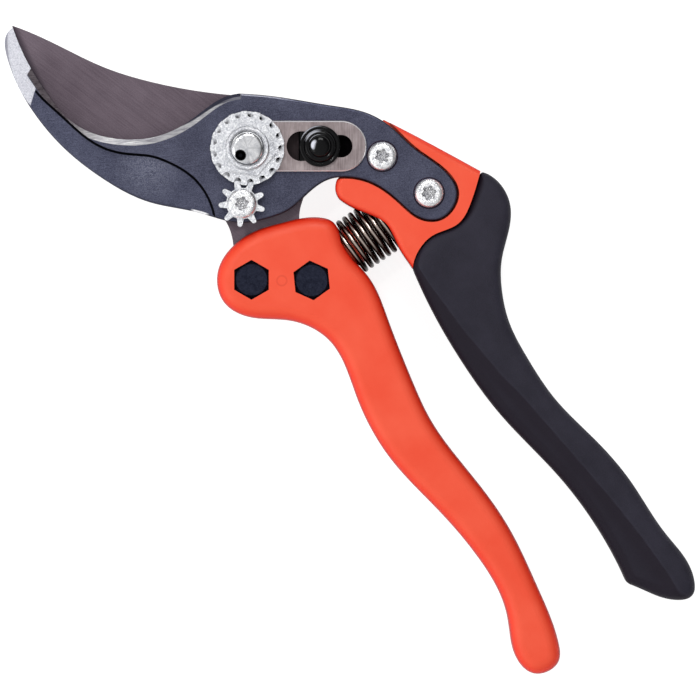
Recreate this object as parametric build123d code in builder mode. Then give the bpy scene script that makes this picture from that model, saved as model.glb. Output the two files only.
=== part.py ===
from build123d import *
import os
from math import cos, radians, sin, sqrt

# Bypass pruner, in millimetres, closed and lying on its back.
# The origin is the centre of the pivot bolt's head, on its outer face. +Z is the bolt's axis and
# comes up through the tool, +X runs to the end of the fixed handle, and the jaws lie towards -X.

os.makedirs("parts", exist_ok=True)

# ---- heights of the layers, from the bolt's head up ----
FLOOR_Z = -5.0               # the back of both handles
HEAD_TOP_Z = 3.2
WASHER_TOP_Z = 4.0
BLADE_Z = 4.05               # the blade's back face
BLADE_TOP_Z = 7.2
ARM_Z = 7.3                  # the counter-blade's back face
ARM_TOP_Z = 12.3
HOOK_TOP_Z = 10.7            # the hook's face, below the step
PLATE_TOP_Z = 13.5
NUT_Z = 13.55
NUT_TOP_Z = 15.5             # the toothed disc
NUT_HEX_TOP_Z = 16.1
NUT_COLLAR_TOP_Z = 16.8
STAR_Z = 12.4
STAR_TOP_Z = 15.3
CORE_TOP_Z = 11.8
HANDLE_TOP_Z = 12.0
GRIP_TOP_Z = 13.3

# ---- clearances ----
RUNNING_GAP = 0.05           # radial, where one piece turns on another
LOOSE_GAP = 0.1              # round a piece that is moulded or bolted in

# ---- the pivot ----
BOLT_R = 4.0                 # M8
BOLT_HEAD_FLATS = 13.0
BOLT_TOP_Z = 17.8
BOLT_HEAD_CHAMFER = 0.5
BOLT_DOME = 1.2
BOLT_DIMPLE = (0.1, -2.4)
BOLT_DIMPLE_R = 1.4          # at its mouth
BOLT_DIMPLE_BOTTOM_R = 0.5
BOLT_DIMPLE_DEPTH = 1.6
BUSHING_R = 5.0
WASHER_R = 8.5

# ---- the adjusting nut and the star that locks it ----
NUT_R = 8.9
NUT_FLANGE_R = 8.8           # the plain flange under the notches
NUT_FLANGE_TOP_Z = 14.15
NUT_NOTCHES = 17
NUT_NOTCH_BOTTOM_R = 7.4
NUT_NOTCH_HALF = 0.75        # half width at the bottom of a notch
NUT_NOTCH_MOUTH_HALF = 1.1   # half width where a notch's sides end, outside the nut's rim
NUT_NOTCH_MOUTH_R = 9.4
NUT_HEX_R = 7.0              # to its corners
NUT_HEX_TURN = 35.0
NUT_COLLAR_R = 5.3
NUT_COLLAR_CHAMFER = 0.3
NUT_RELIEF_R = 4.45          # the bore widens at the top of the collar
NUT_RELIEF_DEPTH = 1.2
STAR_TEETH = 9
STAR_TEETH_Z = 14.3          # the teeth run just above the nut's flange
STAR_TIP_R = 5.6
STAR_HUB_R = 3.75
STAR_ROOT_HALF = 0.8         # half width of a tooth at the hub
STAR_TIP_HALF = 0.6
STAR_SCREW_R = 2.0
STAR_SCREW_END_Z = 7.6
STAR_SCREW_HEAD_R = 3.5
STAR_SCREW_HEAD_Z = 15.35
STAR_SCREW_HEAD_HEIGHT = 1.3
STAR_SCREW_ROUND = 0.9
STAR_SCREW_DRIVE_R = 1.7
STAR_SCREW_DRIVE_DEPTH = 0.9
STAR_DISTANCE = 13.35        # from the nut's axis to the star's
STAR_DIRECTION = -50.5       # degrees from +X

# ---- screws ----
M5_R = 2.5
M5_HOLE_R = 2.6
M5_NUT_FLATS = 8.0
M5_POCKET_FLATS = 8.3
M5_NUT_HEIGHT = 3.4
DRIVE_R = 1.8                # the six-lobed recesses
DRIVE_DEPTH = 1.3
ARM_SCREW_HEAD_R = 3.5
ARM_SCREW_HEAD_HEIGHT = 2.0
ARM_SCREW_ROUND = 1.2
SCREW_HEAD_R = 4.2
SCREW_HEAD_HEIGHT = 2.4
SCREW_HEAD_ROUND = 0.8
SCREW_SEAT_GAP = 0.4         # radial, round the heads of the tang screws
SCREW_SINK = 0.4             # how far the screws and nuts on the back lie below its face
TANG_SCREW_TOP_Z = 9.3
TANG_SCREW_CHAMFER = 0.4
TANG_NUT_BORE_TOP_Z = 9.4    # the tang nuts are closed on top
TANG_NUT_FACE_R = 3.75       # their corners are turned off down to a round top face
TANG_NUT_FALL = 0.5          # and fall this far on the way out to TANG_NUT_FALL_R
TANG_NUT_FALL_R = 5.0
ARM_SCREWS = {"front": (24.2, 21.5), "rear": (38.4, 23.2)}
TANG_SCREWS = {"front": (23.0, -21.6), "rear": (33.3, -11.5)}
TANG_NUT_TURNS = {"front": 15.0, "rear": 20.7}

# ---- the fixed handle ----
TONGUE_Z = 0.0
TONGUE_TOP_Z = 8.0
BEHIND_BORDER = [(49.5, -5.0), (70.0, -5.0), (70.0, 44.0), (43.0, 44.0)]   # past the core's end

# ---- the thumb latch, measured along and across a line 45 degrees from +X ----
LATCH_ACROSS = 0.48          # how far the latch's line passes to the left of the pivot
PLATE_HALF = 6.05
PLATE_END = 22.5             # the centre of the plate's round end
PLATE_CHAMFER = 0.25
KEYHOLE_AT = 13.0
KEYHOLE_R = 3.6
SLOT_HALF = 2.7
KNOB_AT = 17.4
SLIDER_BACK = 5.1            # the block's reach from the knob towards the pivot
SLIDER_FRONT = 4.8
SLIDER_HALF = 3.9
SLIDER_CORNER_R = 0.8
SLIDER_CHAMFER = 0.3
WELL_FROM = 9.2              # the well in the arm that the block slides in
WELL_TO = 27.1
WELL_HALF = 4.3
WELL_CORNER_R = 1.5
WELL_FLOOR_Z = 8.2
SLIDER_Z = 8.9
SLIDER_TOP_Z = 12.1
LATCH_PIN_R = 2.4
KNOB_STEPS = [(4.95, 13.7, 14.9, 0.5), (3.6, 14.9, 16.1, 0.5), (2.5, 16.1, 17.3, 1.0)]   # r, z, z, round
LEAF_FROM = 9.4
LEAF_TO = 19.0
LEAF_HALF = 3.6
LEAF_CORNER_R = 0.6
LEAF_THICKNESS = 0.4

# ---- the coil spring between the handles ----
SPRING_R = 6.45              # to the middle of the wire
SPRING_WIRE_R = 0.82
SPRING_PITCH = 1.74
SPRING_TURNS = 7.5
SPRING_FOOT = (33.95, -0.55)  # where its axis meets its seat in the blade's handle
SPRING_Z = 3.4
SPRING_DIRECTION = 79.0      # degrees from +X
SPRING_END_GAP = 0.05        # between the coil and each of its seats
SPRING_POCKET_R = 7.6
HANDLE_POCKET_DEPTH = 6.0
CORE_POCKET_DEPTH = 9.0
SPRING_PEG_R = 4.8
SPRING_PEG_HEIGHT = 3.5
SPRING_PEG_ROOT = 0.5        # how far a peg reaches into its handle

# ---- edges ----
HANDLE_ROUND = 3.0
CORE_ROUND = 1.5
GRIP_ROUND = 2.0
STEEL_ROUND = 0.5
STEP_ROUND = 0.6
BEVEL_WIDTH = 1.45           # the ground bevel along the hook's inner edge
BEVEL_DEPTH = 1.0
GRIND_WIDTH = 5.0            # the ground face of the blade, on its back
EDGE_THICKNESS = 0.4         # what the grind leaves at the cutting edge
GRIND_PAST_EDGE = 3.0
GRIND_ARC = 44.0             # degrees of the cutting edge's arc, from the heel past the tip
OVERSHOOT = 1.0              # how far a cut runs on past the surface that it opens

# ---- outlines, seen from +Z; each list is one smooth stretch ----
HOOK_INNER = [(-10.7, 7.9), (-13.3, 2.5), (-14.3, -4.3), (-17.1, -12.8), (-23.0, -19.9), (-33.3, -25.1),
              (-44.3, -24.5), (-53.2, -22.3), (-60.4, -19.3)]
HOOK_TIP = (-60.4, -19.3)
OUTER_RIM = [(-60.4, -19.3), (-60.2, -21.7), (-55.8, -25.6), (-43.8, -29.9), (-31.5, -31.1), (-19.5, -29.7),
             (-7.4, -25.7), (2.6, -19.2), (11.3, -13.9), (15.4, -8.2), (17.4, -3.6), (17.9, 2.5), (19.2, 8.8),
             (22.3, 12.5), (27.5, 15.5), (34.9, 16.7), (41.3, 17.6), (44.6, 20.6), (45.0, 24.6),
             (43.0, 28.2), (38.2, 29.7), (28.6, 28.4), (20.9, 28.0), (15.0, 26.6), (6.7, 21.3),
             (-5.0, 12.8), (-10.7, 7.9)]
BAND_END = [(-50.4, -22.6), (-49.8, -25.0)]   # where the raised band beside the inner edge stops
HOOK_STEP = [(-49.8, -25.0), (-44.5, -26.0), (-37.9, -25.8), (-31.4, -25.5), (-24.9, -24.2), (-19.1, -20.7),
             (-15.4, -17.6), (-10.9, -15.4), (-4.5, -13.9), (2.2, -14.9), (7.0, -17.6)]
BELOW_HOOK = [(9.0, -36.0), (-66.0, -36.0), (-66.0, -14.0)]   # round the ground face, clear of the steel
TIP_FACET_LINE = [(-46.0, -25.7), (-43.9, -29.6)]   # where the ground point of the hook begins
TIP_FACET_END = (-40.45, -36.0)               # the same line, run on past the rim
TIP_THICKNESS = 1.5

BLADE_SPINE = [(-60.9, -19.1), (-49.45, -14.55), (-38.5, -10.7), (-28.6, -5.6), (-17.3, 2.0), (-8.5, 9.2)]
BLADE_SHOULDER = [(-8.5, 9.2), (-1.5, 12.6), (6.0, 12.8), (12.5, 9.3), (17.0, 3.0), (19.1, -1.2),
                  (21.5, -3.8)]
TANG_END = [(21.5, -3.8), (28.0, -5.2), (35.5, -6.6), (39.0, -10.5), (37.0, -15.5), (30.5, -22.5),
            (25.0, -27.0), (19.5, -26.0), (14.1, -18.9)]
TANG_NECK = [(14.1, -18.9), (11.8, -17.3), (7.9, -15.9), (2.0, -16.6), (-6.0, -20.2), (-12.3, -25.0)]
BLADE_EDGE = [(-12.3, -25.0), (-36.1, -26.7), (-60.9, -19.1)]   # an arc from the heel to the tip

HANDLE_OUTLINE = [(14.1, -18.9), (15.3, -12.8), (18.5, -6.7), (24.0, 0.6), (26.6, 2.0), (33.0, -0.1),
                  (42.1, -1.2), (52.8, -5.1), (67.3, -11.4), (77.0, -14.9), (94.7, -17.5), (108.5, -19.9),
                  (124.0, -25.3), (136.4, -30.9), (139.9, -34.4), (137.8, -40.4), (133.2, -41.1),
                  (123.7, -35.4), (109.4, -30.4), (93.7, -29.0), (78.0, -28.5), (60.8, -23.7),
                  (46.4, -18.7), (36.3, -22.1), (28.6, -28.5), (22.1, -30.1), (15.9, -26.0)]

CORE_TOP = [(18.2, 28.0), (28.5, 31.3), (43.4, 35.7), (52.0, 38.2)]
CORE_LOWER = [(54.0, 5.2), (48.5, 7.6), (43.0, 8.7), (36.5, 10.6), (28.9, 8.2), (24.2, 7.0)]
CORE_NOSE = [(24.2, 7.0), (22.9, 7.3), (20.5, 9.8)]
CORE_BORDER = [(43.4, 35.7), (47.1, 28.7), (48.5, 22.8), (46.2, 16.6), (46.2, 12.4), (48.5, 7.6)]
GRIP_OUTER = [(43.4, 35.7), (49.2, 36.9), (54.4, 34.9), (58.2, 30.6), (62.1, 24.2), (67.3, 19.1),
              (73.8, 15.0), (82.6, 12.1), (95.0, 9.7), (108.1, 9.6), (121.4, 8.6), (136.5, 5.6),
              (148.6, 2.9), (151.4, -0.4), (148.9, -4.3), (144.3, -6.9), (138.2, -9.4)]
GRIP_INNER = [(138.2, -9.4), (125.6, -5.4), (108.7, -2.8), (88.1, -2.2), (73.6, 0.0), (61.5, 3.0),
              (48.5, 7.6)]
ARM_POCKET = [(18.3, 2.5), (19.6, 8.6), (22.5, 12.15), (27.6, 15.1), (35.0, 16.3), (41.5, 17.2),
              (45.0, 20.5), (45.4, 24.7), (43.3, 28.5), (38.2, 30.1), (28.6, 28.8), (21.5, 28.6),
              (14.8, 28.0)]
TONGUE = [(40.0, 22.0), (52.0, 26.0), (60.0, 16.5), (72.0, 8.6), (90.0, 4.8), (112.0, 3.9), (130.0, 0.9),
          (140.0, -1.2), (140.0, -3.6), (128.0, -1.9), (110.0, 1.2), (90.0, 2.2), (72.0, 5.0),
          (58.0, 9.5), (46.0, 13.0)]


def outline(*stretches):
    """One closed face from stretches that follow each other; two points make a straight side."""
    with BuildLine() as boundary:
        for points in stretches:
            if len(points) == 2:
                Line(*points)
            else:
                Spline(*points)
    make_face(boundary.line.edges())


def sides(points):
    """The straight sides from each point of a list to the next one."""
    return [list(pair) for pair in zip(points, points[1:])]


def ring_outline(points):
    """One closed face inside a single smooth curve through the points."""
    with BuildLine() as boundary:
        Spline(*points, periodic=True)
    make_face(boundary.line.edges())


def blade_outline():
    """The blade's face. Its cutting edge is one arc, and the rest is smooth stretches."""
    with BuildLine() as boundary:
        Spline(*BLADE_SPINE)
        Spline(*BLADE_SHOULDER)
        Spline(*TANG_END)
        Spline(*TANG_NECK)
        ThreePointArc(*BLADE_EDGE)
    make_face(boundary.line.edges())


def at_angle(radius, degrees):
    """The point at a distance from the origin, in a direction measured from +X."""
    return (radius * cos(radians(degrees)), radius * sin(radians(degrees)))


def plane_at(point, z):
    """The XY plane moved to a point and a height."""
    return Plane(origin=(point[0], point[1], z))


def latch_plane(along, z):
    """A plane on the latch's line, at a distance along it, whose x axis runs along it."""
    x = (along - LATCH_ACROSS) / sqrt(2)
    y = (along + LATCH_ACROSS) / sqrt(2)
    return Plane(origin=(x, y, z), x_dir=(1, 1, 0), z_dir=(0, 0, 1))


def spring_plane(distance):
    """The plane across the coil spring's axis, at a distance from its foot."""
    x, y = at_angle(distance, SPRING_DIRECTION)
    axis = (*at_angle(1.0, SPRING_DIRECTION), 0)
    foot = (SPRING_FOOT[0] + x, SPRING_FOOT[1] + y, SPRING_Z)
    return Plane(origin=foot, x_dir=(0, 0, 1), z_dir=axis)


def edge_near(builder, point, z):
    """The edge of a sub-part that is nearest to a point at a height."""
    return builder.edges().sort_by_distance((*point, z))[0]


def star_drive(radius):
    """The outline of a six-lobed screwdriver recess."""
    Circle(radius * 0.78)
    with PolarLocations(radius * 0.74, 6):
        Circle(radius * 0.27)


def save(builder, name):
    """Label a finished sub-part and write its file."""
    builder.part.label = name
    export_step(builder.part, f"parts/{name}.step")


STAR_CENTRE = at_angle(STAR_DISTANCE, STAR_DIRECTION)
SPRING_LENGTH = SPRING_PITCH * SPRING_TURNS + 2 * SPRING_WIRE_R

# the hook's ground point lies in a plane that falls from a line across the hook to its tip
facet_start = Vector(*TIP_FACET_LINE[0], HOOK_TOP_Z)
facet_across = Vector(*TIP_FACET_LINE[1], HOOK_TOP_Z) - facet_start
facet_fall = Vector(*HOOK_TIP, ARM_Z + TIP_THICKNESS) - facet_start
facet_plane = Plane(origin=facet_start, z_dir=facet_fall.cross(facet_across))

# what is ground off the point: everything above that plane, as far as the end of the raised band
with BuildPart() as tip_grinding:
    with BuildSketch(Plane.XY.offset(ARM_Z)):
        Polygon(TIP_FACET_LINE[0], BAND_END[1], BAND_END[0], BELOW_HOOK[2], BELOW_HOOK[1], TIP_FACET_END,
                align=None)
    extrude(amount=ARM_TOP_Z - ARM_Z + OVERSHOOT)
    split(bisect_by=facet_plane, keep=Keep.TOP)

# ---- counter-blade: hook and arm in one piece ----
with BuildPart() as counter_blade:
    with BuildSketch(Plane.XY.offset(ARM_Z)):
        outline(HOOK_INNER, OUTER_RIM)
    extrude(amount=ARM_TOP_Z - ARM_Z)
    # a ground bevel follows the hook's inner edge
    arm_face = counter_blade.faces().sort_by(Axis.Z)[-1]
    inner_edge = edge_near(counter_blade, HOOK_INNER[3], ARM_TOP_Z)
    chamfer(inner_edge, length=BEVEL_WIDTH, length2=BEVEL_DEPTH, reference=arm_face)
    # the hook's face is ground back, below a step that leaves a raised band beside that edge
    with BuildSketch(Plane.XY.offset(HOOK_TOP_Z)):
        outline(HOOK_STEP, *sides([HOOK_STEP[-1], *BELOW_HOOK, BAND_END[0]]), BAND_END)
    extrude(amount=ARM_TOP_Z - HOOK_TOP_Z + OVERSHOOT, mode=Mode.SUBTRACT)
    fillet(edge_near(counter_blade, HOOK_STEP[5], HOOK_TOP_Z), STEP_ROUND)
    hook_rim = edge_near(counter_blade, OUTER_RIM[5], HOOK_TOP_Z)
    arm_rim = edge_near(counter_blade, OUTER_RIM[12], ARM_TOP_Z)
    fillet([hook_rim, arm_rim], STEEL_ROUND)
    add(tip_grinding.part, mode=Mode.SUBTRACT)
    # bolt hole, screw holes and the latch's well
    with Locations((0, 0, ARM_TOP_Z)):
        Hole(BOLT_R + LOOSE_GAP)
    for screw in ARM_SCREWS.values():
        with Locations((*screw, ARM_TOP_Z)):
            Hole(M5_HOLE_R)
    with Locations((*STAR_CENTRE, ARM_TOP_Z)):
        Hole(STAR_SCREW_R + RUNNING_GAP)
    with BuildSketch(latch_plane((WELL_FROM + WELL_TO) / 2, WELL_FLOOR_Z)):
        RectangleRounded(WELL_TO - WELL_FROM, 2 * WELL_HALF, WELL_CORNER_R)
    extrude(amount=ARM_TOP_Z - WELL_FLOOR_Z, mode=Mode.SUBTRACT)
save(counter_blade, "counter_blade")

# ---- cutting blade, with the tang that runs into its handle ----
with BuildPart() as cutting_blade:
    with BuildSketch(Plane.XY.offset(BLADE_Z)):
        blade_outline()
    extrude(amount=BLADE_TOP_Z - BLADE_Z)
    # the cutting edge is ground from the back, as part of a cone
    with BuildLine(mode=Mode.PRIVATE) as cutting_edge:
        ThreePointArc(*BLADE_EDGE)
    edge_centre = cutting_edge.line.edges()[0].arc_center
    edge_radius = cutting_edge.line.edges()[0].radius
    start = Vector(*BLADE_EDGE[-1]) - edge_centre
    cone_plane = Plane(origin=(edge_centre.X, edge_centre.Y, BLADE_Z), x_dir=(start.X, start.Y, 0),
                       z_dir=(start.Y, -start.X, 0))
    grind_from = edge_radius - GRIND_WIDTH
    grind_to = edge_radius + GRIND_PAST_EDGE
    grind_height = BLADE_TOP_Z - BLADE_Z - EDGE_THICKNESS
    with BuildSketch(cone_plane):
        Polygon((grind_from, 0), (edge_radius, grind_height), (grind_to, grind_height),
                (grind_to, -OVERSHOOT), (grind_from, -OVERSHOOT), align=None)
    cone_axis = Axis((edge_centre.X, edge_centre.Y, 0), (0, 0, 1))
    revolve(axis=cone_axis, revolution_arc=GRIND_ARC, mode=Mode.SUBTRACT)
    with Locations((0, 0, BLADE_TOP_Z)):
        Hole(BUSHING_R + RUNNING_GAP)
    for screw in TANG_SCREWS.values():
        with Locations((*screw, BLADE_TOP_Z)):
            Hole(M5_HOLE_R)
save(cutting_blade, "cutting_blade")

# ---- red handle, round the blade's tang ----
with BuildPart() as finger_handle:
    with BuildSketch(Plane.XY.offset(FLOOR_Z)):
        ring_outline(HANDLE_OUTLINE)
    extrude(amount=HANDLE_TOP_Z - FLOOR_Z)
    fillet(finger_handle.edges(), HANDLE_ROUND)
    with BuildSketch(Plane.XY.offset(BLADE_Z)):
        blade_outline()
    extrude(amount=BLADE_TOP_Z - BLADE_Z, mode=Mode.SUBTRACT)
    for which, screw in TANG_SCREWS.items():
        with BuildSketch(plane_at(screw, BLADE_TOP_Z)):
            turn = TANG_NUT_TURNS[which]
            RegularPolygon(M5_POCKET_FLATS / 2, 6, major_radius=False, rotation=turn)
        extrude(amount=HANDLE_TOP_Z - BLADE_TOP_Z, mode=Mode.SUBTRACT)
        with BuildSketch(plane_at(screw, FLOOR_Z)):
            Circle(M5_HOLE_R)
        extrude(amount=BLADE_Z - FLOOR_Z, mode=Mode.SUBTRACT)
        with BuildSketch(plane_at(screw, FLOOR_Z)):
            Circle(SCREW_HEAD_R + SCREW_SEAT_GAP)
        extrude(amount=SCREW_SINK + SCREW_HEAD_HEIGHT, mode=Mode.SUBTRACT)
    # the coil spring's seat and peg
    with BuildSketch(spring_plane(0)):
        Circle(SPRING_POCKET_R)
    extrude(amount=HANDLE_POCKET_DEPTH, mode=Mode.SUBTRACT)
    with BuildSketch(spring_plane(-SPRING_PEG_ROOT)):
        Circle(SPRING_PEG_R)
    extrude(amount=SPRING_PEG_ROOT + SPRING_PEG_HEIGHT)
save(finger_handle, "finger_handle")

# ---- orange core of the fixed handle, with the pocket that holds the arm ----
with BuildPart() as fixed_handle_core:
    with BuildSketch(Plane.XY.offset(FLOOR_Z)):
        outline(CORE_TOP, [CORE_TOP[-1], CORE_LOWER[0]], CORE_LOWER, CORE_NOSE,
                [CORE_NOSE[-1], CORE_TOP[0]])
    extrude(amount=CORE_TOP_Z - FLOOR_Z)
    fillet(fixed_handle_core.edges().filter_by(Plane.XY), CORE_ROUND)
    # it ends where the grip begins, apart from a tongue that runs on inside the grip
    with BuildSketch(Plane.XY.offset(FLOOR_Z - OVERSHOOT)):
        outline(CORE_BORDER, *sides([CORE_BORDER[-1], *BEHIND_BORDER, CORE_BORDER[0]]))
    extrude(amount=CORE_TOP_Z - FLOOR_Z + 2 * OVERSHOOT, mode=Mode.SUBTRACT)
    with BuildSketch(Plane.XY.offset(TONGUE_Z)):
        ring_outline(TONGUE)
    extrude(amount=TONGUE_TOP_Z - TONGUE_Z)
    with BuildSketch(Plane.XY.offset(ARM_Z)):
        outline(ARM_POCKET, [ARM_POCKET[-1], ARM_POCKET[0]])
    extrude(amount=ARM_TOP_Z - ARM_Z, mode=Mode.SUBTRACT)
    for screw in ARM_SCREWS.values():
        with BuildSketch(plane_at(screw, FLOOR_Z)):
            Circle(M5_HOLE_R)
        extrude(amount=ARM_Z - FLOOR_Z, mode=Mode.SUBTRACT)
        with BuildSketch(plane_at(screw, FLOOR_Z)):
            RegularPolygon(M5_POCKET_FLATS / 2, 6, major_radius=False)
        extrude(amount=SCREW_SINK + M5_NUT_HEIGHT, mode=Mode.SUBTRACT)
    with BuildSketch(spring_plane(SPRING_LENGTH)):
        Circle(SPRING_POCKET_R)
    extrude(amount=-CORE_POCKET_DEPTH, mode=Mode.SUBTRACT)
    with BuildSketch(spring_plane(SPRING_LENGTH + SPRING_PEG_ROOT)):
        Circle(SPRING_PEG_R)
    extrude(amount=-SPRING_PEG_ROOT - SPRING_PEG_HEIGHT)
save(fixed_handle_core, "fixed_handle_core")

# ---- black grip, moulded over the core's tongue ----
with BuildPart() as soft_grip:
    with BuildSketch(Plane.XY.offset(FLOOR_Z)):
        outline(CORE_BORDER, GRIP_OUTER, GRIP_INNER)
    extrude(amount=GRIP_TOP_Z - FLOOR_Z)
    fillet(soft_grip.edges().filter_by(Plane.XY), GRIP_ROUND)
    with BuildSketch(Plane.XY.offset(TONGUE_Z)):
        ring_outline(TONGUE)
    extrude(amount=TONGUE_TOP_Z - TONGUE_Z, mode=Mode.SUBTRACT)
save(soft_grip, "soft_grip")

# ---- pivot: bolt, washer and the sleeve that the blade turns on ----
with BuildPart() as pivot_bolt:
    with BuildSketch():
        RegularPolygon(BOLT_HEAD_FLATS / 2, 6, major_radius=False)
    extrude(amount=HEAD_TOP_Z)
    chamfer(pivot_bolt.edges().group_by(Axis.Z)[0], BOLT_HEAD_CHAMFER)
    with BuildSketch(Plane.XY.offset(HEAD_TOP_Z)):
        Circle(BOLT_R)
    extrude(amount=BOLT_TOP_Z - HEAD_TOP_Z)
    fillet(pivot_bolt.edges().group_by(Axis.Z)[-1], BOLT_DOME)
    with Locations((*BOLT_DIMPLE, BOLT_TOP_Z)):
        CounterSinkHole(BOLT_DIMPLE_BOTTOM_R, BOLT_DIMPLE_R, BOLT_DIMPLE_DEPTH)
save(pivot_bolt, "pivot_bolt")

with BuildPart() as head_washer:
    with BuildSketch(Plane.XY.offset(HEAD_TOP_Z)):
        Circle(WASHER_R)
        Circle(BOLT_R + LOOSE_GAP, mode=Mode.SUBTRACT)
    extrude(amount=WASHER_TOP_Z - HEAD_TOP_Z)
save(head_washer, "head_washer")

with BuildPart() as pivot_bushing:
    with BuildSketch(Plane.XY.offset(WASHER_TOP_Z)):
        Circle(BUSHING_R)
        Circle(BOLT_R + LOOSE_GAP, mode=Mode.SUBTRACT)
    extrude(amount=ARM_Z - WASHER_TOP_Z)
save(pivot_bushing, "pivot_bushing")

# ---- adjusting nut: a flange, a notched disc, a hexagon for a spanner and a round collar ----
with BuildPart() as adjusting_nut:
    with BuildSketch(Plane.XY.offset(NUT_Z)):
        Circle(NUT_FLANGE_R)
    extrude(amount=NUT_FLANGE_TOP_Z - NUT_Z)
    with BuildSketch(Plane.XY.offset(NUT_FLANGE_TOP_Z)):
        Circle(NUT_R)
        notch_at = NUT_NOTCH_BOTTOM_R + NUT_NOTCH_HALF
        with PolarLocations(0, NUT_NOTCHES, start_angle=STAR_DIRECTION + 180.0 / NUT_NOTCHES):
            with Locations((notch_at, 0)):
                Circle(NUT_NOTCH_HALF, mode=Mode.SUBTRACT)
            Polygon((notch_at, -NUT_NOTCH_HALF), (NUT_NOTCH_MOUTH_R, -NUT_NOTCH_MOUTH_HALF),
                    (NUT_NOTCH_MOUTH_R, NUT_NOTCH_MOUTH_HALF), (notch_at, NUT_NOTCH_HALF),
                    align=None, mode=Mode.SUBTRACT)
    extrude(amount=NUT_TOP_Z - NUT_FLANGE_TOP_Z)
    with BuildSketch(Plane.XY.offset(NUT_TOP_Z)):
        RegularPolygon(NUT_HEX_R, 6, rotation=NUT_HEX_TURN)
    extrude(amount=NUT_HEX_TOP_Z - NUT_TOP_Z)
    with BuildSketch(Plane.XY.offset(NUT_HEX_TOP_Z)):
        Circle(NUT_COLLAR_R)
    extrude(amount=NUT_COLLAR_TOP_Z - NUT_HEX_TOP_Z)
    chamfer(adjusting_nut.edges().group_by(Axis.Z)[-1], NUT_COLLAR_CHAMFER)
    with Locations((0, 0, NUT_COLLAR_TOP_Z)):
        CounterBoreHole(BOLT_R + RUNNING_GAP, NUT_RELIEF_R, NUT_RELIEF_DEPTH)
save(adjusting_nut, "adjusting_nut")

# ---- star that locks the nut, and the screw it turns on ----
with BuildPart() as lock_star:
    with BuildSketch(plane_at(STAR_CENTRE, STAR_Z)):
        Circle(STAR_HUB_R)
    extrude(amount=STAR_TOP_Z - STAR_Z)
    with BuildSketch(plane_at(STAR_CENTRE, STAR_TEETH_Z)):
        Circle(STAR_HUB_R)
        tip_at = STAR_TIP_R - STAR_TIP_HALF
        with PolarLocations(0, STAR_TEETH, start_angle=STAR_DIRECTION + 180.0 + 180.0 / STAR_TEETH):
            Polygon((0, -STAR_ROOT_HALF), (STAR_HUB_R, -STAR_ROOT_HALF), (tip_at, -STAR_TIP_HALF),
                    (tip_at, STAR_TIP_HALF), (STAR_HUB_R, STAR_ROOT_HALF), (0, STAR_ROOT_HALF), align=None)
            with Locations((tip_at, 0)):
                Circle(STAR_TIP_HALF)
    extrude(amount=STAR_TOP_Z - STAR_TEETH_Z)
    with Locations((*STAR_CENTRE, STAR_TOP_Z)):
        Hole(STAR_SCREW_R + RUNNING_GAP)
save(lock_star, "lock_star")

with BuildPart() as star_screw:
    with BuildSketch(plane_at(STAR_CENTRE, STAR_SCREW_END_Z)):
        Circle(STAR_SCREW_R)
    extrude(amount=STAR_SCREW_HEAD_Z - STAR_SCREW_END_Z)
    with BuildSketch(plane_at(STAR_CENTRE, STAR_SCREW_HEAD_Z)):
        Circle(STAR_SCREW_HEAD_R)
    extrude(amount=STAR_SCREW_HEAD_HEIGHT)
    fillet(star_screw.edges().group_by(Axis.Z)[-1], STAR_SCREW_ROUND)
    with BuildSketch(plane_at(STAR_CENTRE, STAR_SCREW_HEAD_Z + STAR_SCREW_HEAD_HEIGHT)):
        star_drive(STAR_SCREW_DRIVE_R)
    extrude(amount=-STAR_SCREW_DRIVE_DEPTH, mode=Mode.SUBTRACT)
save(star_screw, "star_screw")

# ---- thumb latch: plate, knob, pin, sliding block and leaf spring ----
with BuildPart() as latch_plate:
    with BuildSketch(latch_plane(PLATE_END / 2, ARM_TOP_Z)):
        SlotCenterToCenter(PLATE_END, 2 * PLATE_HALF)
    extrude(amount=PLATE_TOP_Z - ARM_TOP_Z)
    chamfer(latch_plate.edges().group_by(Axis.Z)[-1], PLATE_CHAMFER)
    with Locations((0, 0, PLATE_TOP_Z)):
        Hole(BOLT_R + LOOSE_GAP)
    with BuildSketch(latch_plane(KEYHOLE_AT, ARM_TOP_Z)):
        Circle(KEYHOLE_R)
        with Locations(((PLATE_END - KEYHOLE_AT) / 2, 0)):
            SlotCenterToCenter(PLATE_END - KEYHOLE_AT, 2 * SLOT_HALF)
    extrude(amount=PLATE_TOP_Z - ARM_TOP_Z, mode=Mode.SUBTRACT)
save(latch_plate, "latch_plate")

with BuildPart() as latch_knob:
    for radius, low_z, high_z, edge in KNOB_STEPS:
        with BuildSketch(latch_plane(KNOB_AT, low_z)):
            Circle(radius)
        extrude(amount=high_z - low_z)
        fillet(latch_knob.edges().group_by(Axis.Z)[-1], edge)
save(latch_knob, "latch_knob")

with BuildPart() as latch_pin:
    with BuildSketch(latch_plane(KNOB_AT, SLIDER_TOP_Z)):
        Circle(LATCH_PIN_R)
    extrude(amount=KNOB_STEPS[0][1] - SLIDER_TOP_Z)
save(latch_pin, "latch_pin")

with BuildPart() as latch_slider:
    with BuildSketch(latch_plane(KNOB_AT + (SLIDER_FRONT - SLIDER_BACK) / 2, SLIDER_Z)):
        RectangleRounded(SLIDER_FRONT + SLIDER_BACK, 2 * SLIDER_HALF, SLIDER_CORNER_R)
    extrude(amount=SLIDER_TOP_Z - SLIDER_Z)
    chamfer(latch_slider.edges().group_by(Axis.Z)[-1], SLIDER_CHAMFER)
save(latch_slider, "latch_slider")

with BuildPart() as latch_leaf:
    with BuildSketch(latch_plane((LEAF_FROM + LEAF_TO) / 2, WELL_FLOOR_Z)):
        RectangleRounded(LEAF_TO - LEAF_FROM, 2 * LEAF_HALF, LEAF_CORNER_R)
    extrude(amount=LEAF_THICKNESS)
save(latch_leaf, "latch_leaf")

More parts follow.
